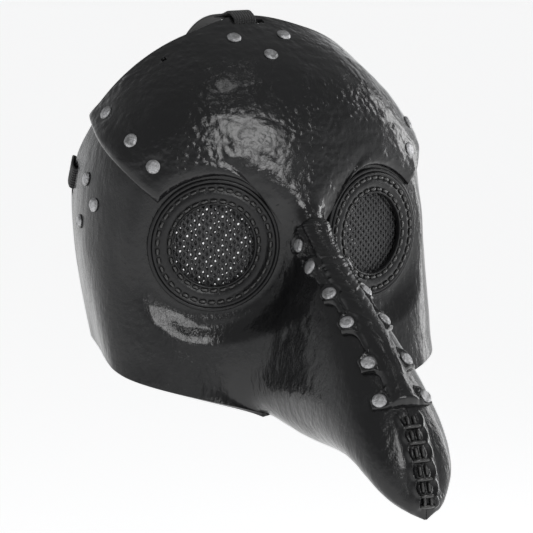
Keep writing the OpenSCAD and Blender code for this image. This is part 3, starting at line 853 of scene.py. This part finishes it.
def turned_ring(side, profile, count, ripple=0.0, seed=0):
    """A closed profile of [radius, height] points carried round an eye's axis, with a slight ripple."""
    angle = np.arange(count) * 2 * math.pi / count
    around = np.cos(angle)[:, None] * EYE_SIDE + np.sin(angle)[:, None] * UP
    points = EYE + profile[None, :, :1] * around[:, None] + profile[None, :, 1:] * EYE_AXIS
    depth = ease((profile[:, 1] - 1.2) / 1.0)[None, :]
    points = points + (ripple * depth * lumps(points, 2.6, seed))[..., None] * EYE_AXIS
    points = mirrored(points, side)
    faces = wrapped_faces(count, len(profile))
    return points.reshape(-1, 3), faces if side == LEFT else faces[:, ::-1]


ring_section = smooth_line(RING_PROFILE, np.linspace(0, len(RING_PROFILE) - 1, PROFILE_STEPS))
for side, name in ((RIGHT, "right"), (LEFT, "left")):
    grained = turned_ring(side, ring_section, RING_STEPS, 0.10, 61)
    ring = make_piece(name + "_ring_leather", *grained, ring_leather)
    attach(ring, "mask")
    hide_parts(name + "_eye_ring")


# ---------------------------------------------------------------------------------------------
# Eye welts: a thin leather piping that fills the step between each ring and the side panel.

WELT_D = 2.2
WELT_STEPS = 16

for side, name in ((RIGHT, "right"), (LEFT, "left")):
    pipe = np.array([RING_R + 0.95, 0.85]) + circle(WELT_D / 2, WELT_STEPS, 0.9)
    welt = make_piece(name + "_welt_piping", *turned_ring(side, pipe, RING_STEPS), ring_leather)
    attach(welt, "mask")
    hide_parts(name + "_eye_welt")


# ---------------------------------------------------------------------------------------------
# Eye stitching: two rows of heavy thread per ring. Each stitch is a plump loop that dives into
# the leather at both ends.

STITCH_FILL = 0.80
STITCH_R = 0.78

ring_thread = waxed_cord("ring_thread", 330.0)


def stitch_row(side, count, radius, height):
    """Stitches evenly spaced round an eye's axis, each along the circle and bent to follow it."""
    angle = (np.arange(count) + 0.5) * 2 * math.pi / count
    out = np.cos(angle)[:, None] * EYE_SIDE + np.sin(angle)[:, None] * UP
    along = -np.sin(angle)[:, None] * EYE_SIDE + np.cos(angle)[:, None] * UP
    middles = EYE + radius * out + height * EYE_AXIS
    length = STITCH_FILL * 2 * math.pi * radius / count
    up = np.repeat(EYE_AXIS[None], count, axis=0)
    points, faces = bent_cords(middles, along, up, length, 0.75, STITCH_R, 8, 8)
    return mirrored(points, side), faces if side == LEFT else faces[:, ::-1]


for side, name in ((RIGHT, "right"), (LEFT, "left")):
    rows = joined(
        stitch_row(side, OUTER_STITCHES, OUTER_ROW, 1.65),
        stitch_row(side, INNER_STITCHES, INNER_ROW, 1.6),
    )
    stitching = make_piece(name + "_ring_stitches", *rows, ring_thread)
    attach(stitching, "mask")
    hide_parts(name + "_eye_stitching")


# ---------------------------------------------------------------------------------------------
# Eye meshes: two layers of open warp-knit black nylon stretched across the back of each window.
# Their strands swing from side to side and are knotted to one neighbour and then to the other.

MESH_HOLD_R = 24.5
STRAND_STEP = 0.46
# Name, strand spacing, knot spacing, depth behind the panel and turn of each layer
KNIT_LAYERS = [("knit_mesh", 1.95, 3.7, -0.50, 0.0), ("knit_backing", 1.72, 3.3, -1.35, math.radians(37))]

mesh_nylon, mesh_wire, mesh_shader = start_material("mesh_nylon", Coat_Weight=0.2, Coat_Roughness=0.3)
knit_place = stretched(mesh_wire, (1, 1, 1))
knit_wear = noise(mesh_wire, knit_place, 420.0, 3.0, 0.6)
knit_loops = mesh_wire.node("ShaderNodeTexVoronoi", None, {"Vector": knit_place, "Scale": 1900.0})
mesh_wire.feed(mesh_shader.inputs["Base Color"], mixed(
    mesh_wire, knit_wear, (0.012, 0.012, 0.013, 1), (0.05, 0.05, 0.052, 1)))
mesh_wire.feed(mesh_shader.inputs["Roughness"], 0.28 + 0.2 * knit_wear)
mesh_wire.feed(mesh_shader.inputs["Normal"], mesh_wire.node("ShaderNodeBump", None, {
    "Height": knit_loops, "Strength": 0.9, "Distance": 0.0003}))


def knit_mesh(side, gap, period, depth, turned):
    """Strand i swings as a rounded zigzag whose sense alternates, and swells at every knot."""
    across = math.cos(turned) * EYE_SIDE + math.sin(turned) * UP
    along = math.cos(turned) * UP - math.sin(turned) * EYE_SIDE
    reach = int(MESH_HOLD_R / gap)
    strand = np.arange(-reach, reach + 1)[:, None]
    u0 = strand * gap
    half = np.sqrt(MESH_HOLD_R ** 2 - u0 ** 2)
    steps = int(2 * MESH_HOLD_R / STRAND_STEP)
    v = half * np.linspace(-1, 1, steps)[None, :]
    cloth = np.stack([u0 + 0 * v, v, depth + 0 * v], axis=-1)
    pull = 0.3 * lumps(cloth * np.array([1, 1, 9]), 4.5, 71)
    turn = 2 * math.pi * v / period
    swing = np.sin(turn) / (0.55 + 0.45 * np.abs(np.sin(turn)))
    u = u0 + 0.42 * np.where(strand % 2, 1, -1) * swing + pull
    knot = np.abs(np.sin(turn)) ** 4
    sag = 0.5 * (1 - (u ** 2 + v ** 2) / MESH_HOLD_R ** 2)
    w = -PANEL_T + depth + sag + 0.15 * knot
    paths = EYE + u[..., None] * across + v[..., None] * along + w[..., None] * EYE_AXIS
    lift = np.broadcast_to(EYE_AXIS, paths.shape)
    points, faces = closed_bars(paths, lift, circle(0.45 * gap, 6, 0.62), 1 + 0.12 * knot)
    return mirrored(points, side), faces if side == LEFT else faces[:, ::-1]


for side, name in ((RIGHT, "right"), (LEFT, "left")):
    for layer, gap, period, depth, turned in KNIT_LAYERS:
        knit = make_piece(name + "_" + layer, *knit_mesh(side, gap, period, depth, turned), mesh_nylon)
        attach(knit, "mask")
        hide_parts(name + "_eye_mesh")


# ---------------------------------------------------------------------------------------------
# Mesh retainers: a flat leather washer glued and stitched behind each window, over the mesh.

RETAINER = np.array([
    [21.6, -3.9], [21.5, -4.3], [21.9, -4.75], [25.0, -4.85], [29.0, -4.8], [29.7, -4.5],
    [29.9, -3.6], [29.8, -2.1], [27.5, -2.05], [26.0, -2.1], [25.4, -3.5], [23.0, -3.7],
])
WASHER_STEPS = 160

for side, name in ((RIGHT, "right"), (LEFT, "left")):
    washer = make_piece(name + "_retainer_washer", *turned_ring(side, RETAINER, WASHER_STEPS), ring_leather)
    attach(washer, "mask")
    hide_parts(name + "_mesh_retainer")


# ---------------------------------------------------------------------------------------------
# Rivets: cast nickel-plated heads with a pebbled flat face inside a bevelled rim. Each has a
# shank through the leather and is set over a domed cap on the inside.

HEAD = [
    [0.3, 1.50], [1.2, 1.49], [2.1, 1.44], [2.65, 1.34], [2.95, 1.16], [3.1, 0.95], [3.38, 0.78],
    [3.58, 0.55], [3.62, 0.3], [3.5, 0.02], [3.2, -0.25], [1.35, -0.30], [1.3, -0.6], [1.3, -2.0],
]
CAP = [
    [1.9, -0.25], [2.95, -0.2], [3.1, -0.02], [3.05, 0.2], [2.7, 0.5], [2.0, 0.75], [1.2, 0.9], [0.4, 0.95],
]
RIVET_SIDES = 32

rivet_nickel, rivet_wire, rivet_shader = start_material("rivet_nickel")
rivet_place = stretched(rivet_wire, (1, 1, 1))
pebbles = rivet_wire.node("ShaderNodeTexVoronoi", {"feature": "SMOOTH_F1"}, {
    "Vector": rivet_place, "Scale": 1100.0, "Smoothness": 0.6})
pits = noise(rivet_wire, rivet_place, 900.0, 4.0, 0.65)
tarnish = noise(rivet_wire, rivet_place, 260.0, 4.0, 0.7).between(0.42, 0.66)
rivet_wire.feed(rivet_shader.inputs["Base Color"], mixed(
    rivet_wire, tarnish, (0.52, 0.52, 0.53, 1), (0.20, 0.20, 0.20, 1)))
rivet_wire.feed(rivet_shader.inputs["Metallic"], 1 - 0.35 * tarnish)
rivet_wire.feed(rivet_shader.inputs["Roughness"], 0.36 + 0.2 * pits + 0.15 * tarnish)
rivet_wire.feed(rivet_shader.inputs["Normal"], rivet_wire.node("ShaderNodeBump", None, {
    "Height": pebbles * 0.8 + pits, "Strength": 0.9, "Distance": 0.0004}))


def turned_studs(marks, sides, lift, profile, inward=False):
    """A turned profile of [radius, height] points that stands on the leather at each mark."""
    profile = np.array(profile)
    parts = []
    for side in sides:
        place, x, _, z = stand(*np.transpose(marks))
        up = -z if inward else z
        wide, tall = (profile if inward else profile[::-1]).T
        paths = (place + lift * z)[:, None] + tall[None, :, None] * up[:, None]
        across = np.repeat(x[:, None], len(profile), axis=1)
        swell = np.repeat(wide[None], len(marks), axis=0)
        points, faces = closed_bars(paths, across, circle(1.0, RIVET_SIDES), swell)
        parts.append((mirrored(points, side), faces if side == LEFT else faces[:, ::-1]))
    return joined(*parts)


BROW_TOP = LAYER_GAP + PANEL_T + 0.4
STRIP_OUT = LAYER_GAP + STRIP_T - 0.1
rivet_groups = [
    ("right_brow_rivets", BROW_RIVETS, [RIGHT], BROW_TOP, HEAD),
    ("left_brow_rivets", BROW_RIVETS, [LEFT], BROW_TOP, HEAD),
    ("right_temple_rivets", TEMPLE_RIVETS, [RIGHT], 0.1, HEAD),
    ("left_temple_rivets", TEMPLE_RIVETS, [LEFT], 0.1, HEAD),
    ("crown_rivets", CROWN_RIVETS, [LEFT], BROW_TOP, HEAD),
    ("right_nose_rivets", NOSE_RIVETS, [RIGHT], STRIP_OUT, HEAD),
    ("left_nose_rivets", NOSE_RIVETS, [LEFT], STRIP_OUT, HEAD),
    ("brow_rivet_caps", BROW_RIVETS, [RIGHT, LEFT], -PANEL_T, CAP),
    ("temple_rivet_caps", TEMPLE_RIVETS, [RIGHT, LEFT], -PANEL_T, CAP),
    ("crown_rivet_caps", CROWN_RIVETS, [LEFT], LAYER_GAP, CAP),
    ("nose_rivet_caps", NOSE_RIVETS, [RIGHT, LEFT], -PANEL_T, CAP),
]
for node, marks, sides, lift, profile in rivet_groups:
    turned = turned_studs(marks, sides, lift, profile, profile is CAP)
    studs = make_piece(node.replace("rivet", "stud"), *turned, rivet_nickel)
    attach(studs, "mask")
    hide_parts(node)


# ---------------------------------------------------------------------------------------------
# Head elastic: one length of ribbed black elastic. It passes through both temple slots and
# lies doubled round the back of the head, where its two ends meet under the crown strap.

ELASTIC_W = 12.5
ELASTIC_T = 1.2
RIBS = 9
BAND_ANGLE = math.radians(52)
BAND_START = (80.0, 9.0)
BAND_R = BAND_START[0] / math.sin(BAND_ANGLE)
BAND_MIDDLE = BAND_START[1] + BAND_R * (1 - math.cos(BAND_ANGLE)) - BAND_R
BAND_Z = float(skin(*SIDE_SLOT)[2])
LOOP = [
    [-12.5, 0.2], [-9.3, 0.75], [-6.3, 1.3], [-4.0, 1.3], [-1.9, 1.25], [-0.55, 0.75], [-0.35, -1.0],
    [-0.55, -2.8], [-1.9, -3.2], [-4.0, -3.2], [-6.3, -3.15], [-9.3, -2.4], [-12.5, -1.2],
]
PLY_OFFSET = 0.66

elastic, elastic_wire, elastic_shader = start_material(
    "black_elastic", Sheen_Weight=0.15, Sheen_Roughness=0.5)
weave = elastic_wire.node("ShaderNodeAttribute", {"attribute_name": "weave"}, None, out=1)
weave_along = elastic_wire.node("ShaderNodeSeparateXYZ", None, {"Vector": weave})
weave_across = Wire(weave_along.tree, weave_along.socket.node.outputs[1])
picks = (weave_along * (2 * math.pi / 0.75)).math("SINE")
cords_across = (weave_across * (2 * math.pi * RIBS / ELASTIC_W)).math("COSINE")
fuzz = noise(elastic_wire, stretched(elastic_wire, (1, 1, 1)), 1500.0, 3.0, 0.65)
cloth_height = picks * 0.35 + cords_across * 0.5 + fuzz * 0.5
# Painted shade and highlight: the colour is darker down in the grooves of the weave and lighter on its raised
# ribs and picks, following the same height as the bump, with a little random fuzz.
elastic_wire.feed(elastic_shader.inputs["Base Color"], mixed(
    elastic_wire, cloth_height.between(-0.6, 1.2), (0.004, 0.004, 0.004, 1), (0.020, 0.020, 0.021, 1)))
elastic_wire.feed(elastic_shader.inputs["Roughness"], 0.62 + 0.2 * fuzz)
elastic_wire.feed(elastic_shader.inputs["Normal"], elastic_wire.node("ShaderNodeBump", None, {
    "Height": cloth_height, "Strength": 0.8, "Distance": 0.0003}))


def ribbed_section():
    """Across the elastic and back: rounded edges, and a shallow rib for each rubber core."""
    x = np.linspace(1, -1, 55)
    edge = np.sqrt(np.clip(1 - np.abs(x) ** 14, 0, 1)) * 0.92 + 0.08
    rib = 0.10 * np.abs(np.cos(x * math.pi * RIBS / 2))
    top = np.stack([x * ELASTIC_W / 2, edge * (ELASTIC_T / 2 - 0.10 + rib)], axis=-1)
    return np.concatenate([top, top[::-1] * np.array([1, -1])])


def elastic_ribbon(name, line, normals, steps):
    """The ribbed section carried along a smooth line through listed points."""
    x = np.linspace(0, len(line) - 1, steps)
    path = smooth_line(np.asarray(line), x)[None]
    lift = unit(smooth_line(np.asarray(normals), x))[None]
    section = ribbed_section()
    piece = make_piece(name, *closed_bars(path, lift, section, np.ones((1, steps))), elastic)
    travelled = np.concatenate([[0], np.cumsum(np.linalg.norm(np.diff(path[0], axis=0), axis=1))])
    values = np.zeros((steps, len(section), 3))
    values[..., 0] = travelled[:, None]
    values[..., 1] = section[None, :, 0]
    made = piece.data.attributes.new("weave", "FLOAT_VECTOR", "POINT")
    made.data.foreach_set("vector", values.ravel())
    return piece


def band_arc(radius, first, last, count):
    """Points round the back of the head, with the direction out of the band at each."""
    angle = np.radians(np.linspace(first, last, count))
    step = angle[1] - angle[0]
    reach = radius * 6 / (4 + 2 * math.cos(step))
    out = np.stack([np.sin(angle), np.cos(angle), 0 * angle], axis=-1)
    return np.array([0, BAND_MIDDLE, BAND_Z]) + reach * out, out


def temple_loop():
    """Points of the turn through the left slot, from the outside to the inside, and their outward sides."""
    place, x, _, z = stand(*SIDE_SLOT)
    loop = np.array(LOOP)
    points = place + loop[:, :1] * x + loop[:, 1:] * z
    ahead = np.gradient(loop, axis=0)
    turn = np.stack([-ahead[:, 1], ahead[:, 0]], axis=-1)
    return points, unit(turn[:, :1] * x + turn[:, 1:] * z)


def head_elastic():
    """Inner ply from the middle to the left slot, through it, the outer ply right round, and back."""
    loop_points, loop_out = temple_loop()
    inner, inner_out = band_arc(BAND_R - PLY_OFFSET, 0.0, 46, 12)
    outer, outer_out = band_arc(BAND_R + PLY_OFFSET, 46, -46, 23)
    flip = np.array([-1, 1, 1])
    line = np.concatenate([
        inner, loop_points[::-1], outer, loop_points * flip, inner[::-1] * flip])
    normals = np.concatenate([
        -inner_out, loop_out[::-1], outer_out, loop_out * flip, -inner_out[::-1] * flip])
    return line, normals


HEAD_STEPS = 560
head_ribbon = elastic_ribbon("head_elastic", *head_elastic(), HEAD_STEPS)
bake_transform(head_ribbon)
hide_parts("right_strap_loop", "left_strap_loop", "head_band")


# ---------------------------------------------------------------------------------------------
# Crown elastic: a second length of the same elastic. It is turned through the slot in the
# crown tab, its short end laid under it behind the rim, and sewn to the outside of the head band.

CROWN_SHIFT = -2.25
CROWN_TURN = [
    [-6.3, -0.85], [-4.0, -0.9], [-1.9, -0.85], [-0.5, -0.4], [-0.3, 1.4], [-0.5, 3.4], [-1.9, 3.95],
    [-4.0, 4.0], [-6.3, 3.9], [-9.3, 3.3],
]
CROWN_SHORT_END = [[-13.0, 105.9], [-17.0, 106.1], [-22.0, 106.4]]
CROWN_ROUTE = [
    [-22, 107.8], [-14, 107.4], [0, 104.8], [16, 97.4], [32, 82], [42, 62], [46.6, 46], [49.2, 38],
    [50.2, 32], [50.2, 27], [50.2, 21.5],
]
CROWN_STEPS = 300


def crown_elastic():
    """Short end under the strap, the turn through the slot, then the route down the back of the head."""
    place, x, _, z = stand(*CROWN_SLOT)
    turn = np.array(CROWN_TURN)
    loop = (place + turn[:, :1] * x + turn[:, 1:] * z)[:, 1:]
    flat = np.concatenate([CROWN_SHORT_END, loop, CROWN_ROUTE])
    line = np.insert(flat, 0, CROWN_SHIFT, axis=1)
    ahead = np.gradient(flat, axis=0)
    normals = np.stack([0 * ahead[:, 0], -ahead[:, 1], ahead[:, 0]], axis=-1)
    return line, unit(normals)


crown_ribbon = elastic_ribbon("crown_elastic", *crown_elastic(), CROWN_STEPS)
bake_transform(crown_ribbon)
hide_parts("crown_strap", "crown_strap_loop")


# ---------------------------------------------------------------------------------------------
# Bartacks: dense rows of sewing thread that join the plies behind each temple slot, and the crown
# elastic to the band.

TACK_ROWS = 5
TACK_COLUMNS = 8
TACK_PITCH = 1.15
TACK_LENGTH = 1.35
tack_thread = waxed_cord("tack_thread", 900.0)


def bartack(name, place, across, along, out):
    """Rows of short threads, each leaning a little, that lie on the elastic across its width."""
    row = (np.arange(TACK_ROWS) - (TACK_ROWS - 1) / 2) * TACK_PITCH
    column = (np.arange(TACK_COLUMNS) - (TACK_COLUMNS - 1) / 2) * TACK_LENGTH
    u, v = (m.ravel()[:, None] for m in np.meshgrid(column, row))
    middles = place + u * across + v * along
    lean = unit(across + 0.5 * along * np.where(np.arange(len(u)) % 2, 1, -1)[:, None])
    up = np.repeat(out[None], len(u), axis=0)
    tack = make_piece(name, *bent_cords(middles, lean, up, TACK_LENGTH, 0.22, 0.20, 6, 6), tack_thread)
    return tack


for side, name in ((RIGHT, "right"), (LEFT, "left")):
    spot, spot_out = band_arc(BAND_R + 1.22, 42, 43, 2)
    tack_place, tack_out = mirrored(spot[0], side), mirrored(spot_out[0], side)
    tack = bartack(name + "_temple_bartack", tack_place, UP, np.cross(tack_out, UP), tack_out)
    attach(tack, "head_band")
back_place = np.array([CROWN_SHIFT, 50.78, 27.3])
back_tack = bartack("band_bartack", back_place, np.array([1.0, 0, 0]), UP, np.array([0, 1.0, 0]))
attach(back_tack, "head_band")


# ---------------------------------------------------------------------------------------------
# Strap keepers: moulded plastic loops round both plies of the band. They slide along it to
# hold the elastic flat.

KEEPER_ANGLE = 35.0
KEEPER_LONG = 7.0
KEEPER_WALL = 1.3
KEEPER_GAP = 0.5
KEEPER_CORNER = 1.7
KEEPER_STEPS = 96
KEEPER_SECTION = 20

keeper_plastic, keeper_wire, keeper_shader = start_material("keeper_plastic", Specular_IOR_Level=0.45)
keeper_place = stretched(keeper_wire, (1, 1, 1))
keeper_grain = noise(keeper_wire, keeper_place, 1400.0, 3.0, 0.6)
keeper_rub = noise(keeper_wire, keeper_place, 140.0, 4.0, 0.7)
keeper_wire.feed(keeper_shader.inputs["Base Color"], mixed(
    keeper_wire, keeper_rub, (0.010, 0.010, 0.010, 1), (0.026, 0.026, 0.027, 1)))
keeper_wire.feed(keeper_shader.inputs["Roughness"], 0.34 + 0.22 * keeper_rub)
keeper_wire.feed(keeper_shader.inputs["Normal"], keeper_wire.node("ShaderNodeBump", None, {
    "Height": keeper_grain, "Strength": 0.5, "Distance": 0.0002}))


def keeper_loop():
    """A rounded flat section carried round a rectangle with round corners, on the left of the band."""
    spot, out = band_arc(BAND_R, KEEPER_ANGLE, KEEPER_ANGLE + 0.01, 2)
    spot, out = spot[0], out[0]
    ahead = np.cross(out, UP)
    turn = (np.arange(KEEPER_STEPS) + 0.5) * 2 * math.pi / KEEPER_STEPS
    way = np.stack([np.cos(turn), np.sin(turn)], axis=-1)
    half = np.array([ELASTIC_T + KEEPER_GAP, ELASTIC_W / 2 + KEEPER_GAP]) + KEEPER_WALL / 2
    ring = (half - KEEPER_CORNER) * np.sign(way) + KEEPER_CORNER * way
    edge = (np.arange(KEEPER_SECTION) + 0.5) * 2 * math.pi / KEEPER_SECTION
    wide = KEEPER_LONG / 2 * np.sign(np.cos(edge)) * np.abs(np.cos(edge)) ** 0.35
    deep = KEEPER_WALL / 2 * np.sign(np.sin(edge)) * np.abs(np.sin(edge)) ** 0.6
    flat = ring[:, None] + way[:, None] * deep[None, :, None]
    points = spot + flat[..., :1] * out + flat[..., 1:] * UP + wide[None, :, None] * ahead
    return points.reshape(-1, 3), wrapped_faces(KEEPER_STEPS, KEEPER_SECTION)


for side, name in ((RIGHT, "right"), (LEFT, "left")):
    keeper_points, keeper_faces = keeper_loop()
    keeper = make_piece(name + "_keeper_loop", mirrored(keeper_points, side), keeper_faces, keeper_plastic)
    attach(keeper, name + "_keeper")
    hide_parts(name + "_strap_keeper")
